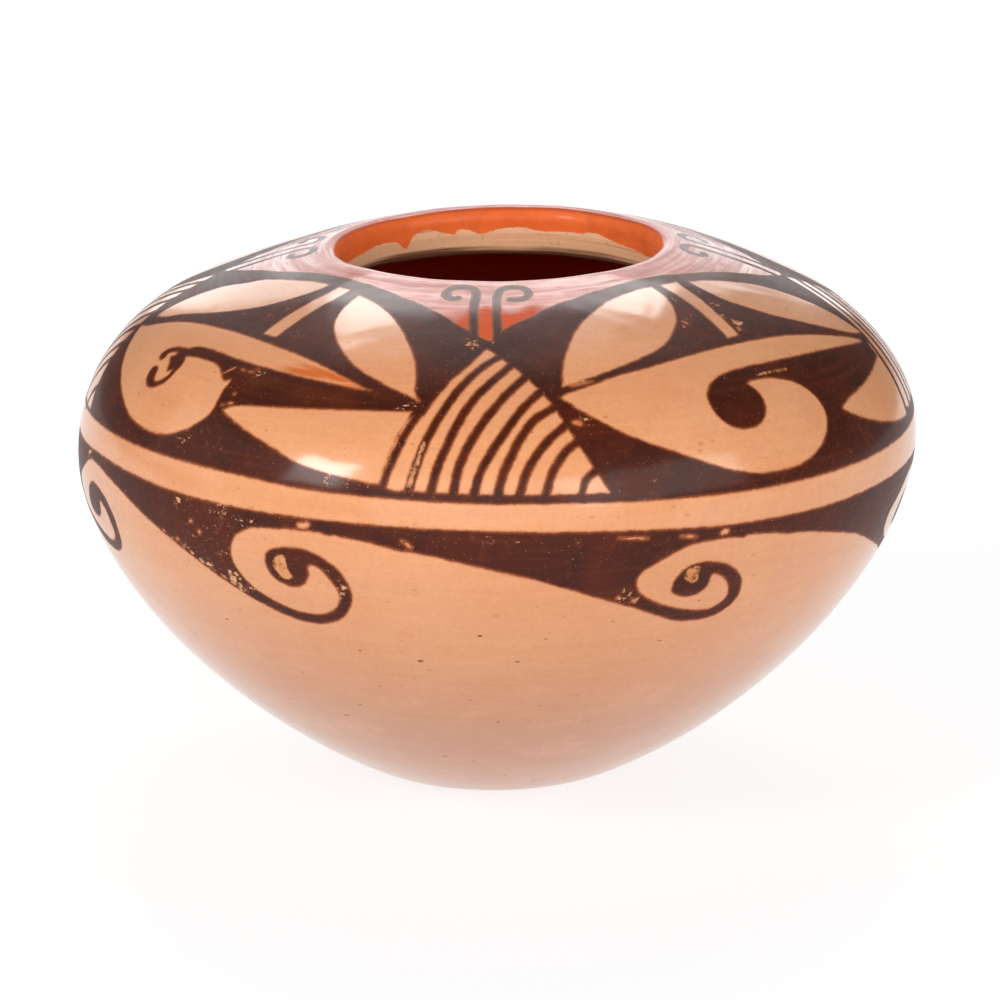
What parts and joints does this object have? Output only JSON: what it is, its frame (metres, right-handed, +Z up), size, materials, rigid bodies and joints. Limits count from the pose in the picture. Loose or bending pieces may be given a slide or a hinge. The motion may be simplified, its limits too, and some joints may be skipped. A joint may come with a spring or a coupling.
{
  "type": "pottery jar",
  "caption": "Low, wide-shouldered, coil-built clay jar with a small round mouth and a flat foot; painted and slipped outside, open inside.",
  "frame": {"origin": "on the surface that the foot rests on, below the middle of the jar's widest outline", "axes": "+Z up through the mouth; -Y towards the front that the picture shows, +X to its right"},
  "size_m": [0.2152, 0.215, 0.1384],
  "materials": {
    "burnished_buff_slip": "burnished peach-buff slip over earthenware, soft gloss",
    "painted_slip": "burnished buff slip with brown-black mineral paint",
    "red_neck_slip": "burnished iron-red slip round the mouth, soft gloss"
  },
  "bodies": {
    "root": {"base_dish": "burnished_buff_slip", "wall_coil_01": "burnished_buff_slip", "wall_coil_02": "burnished_buff_slip", "wall_coil_03": "burnished_buff_slip", "wall_coil_04": "burnished_buff_slip", "wall_coil_05": "painted_slip", "wall_coil_06": "painted_slip", "wall_coil_07": "painted_slip", "wall_coil_08": "painted_slip", "wall_coil_09": "painted_slip", "wall_coil_10": "painted_slip", "wall_coil_11": "painted_slip", "wall_coil_12": "red_neck_slip", "rim_coil": "red_neck_slip"}
  },
  "joints": []
}
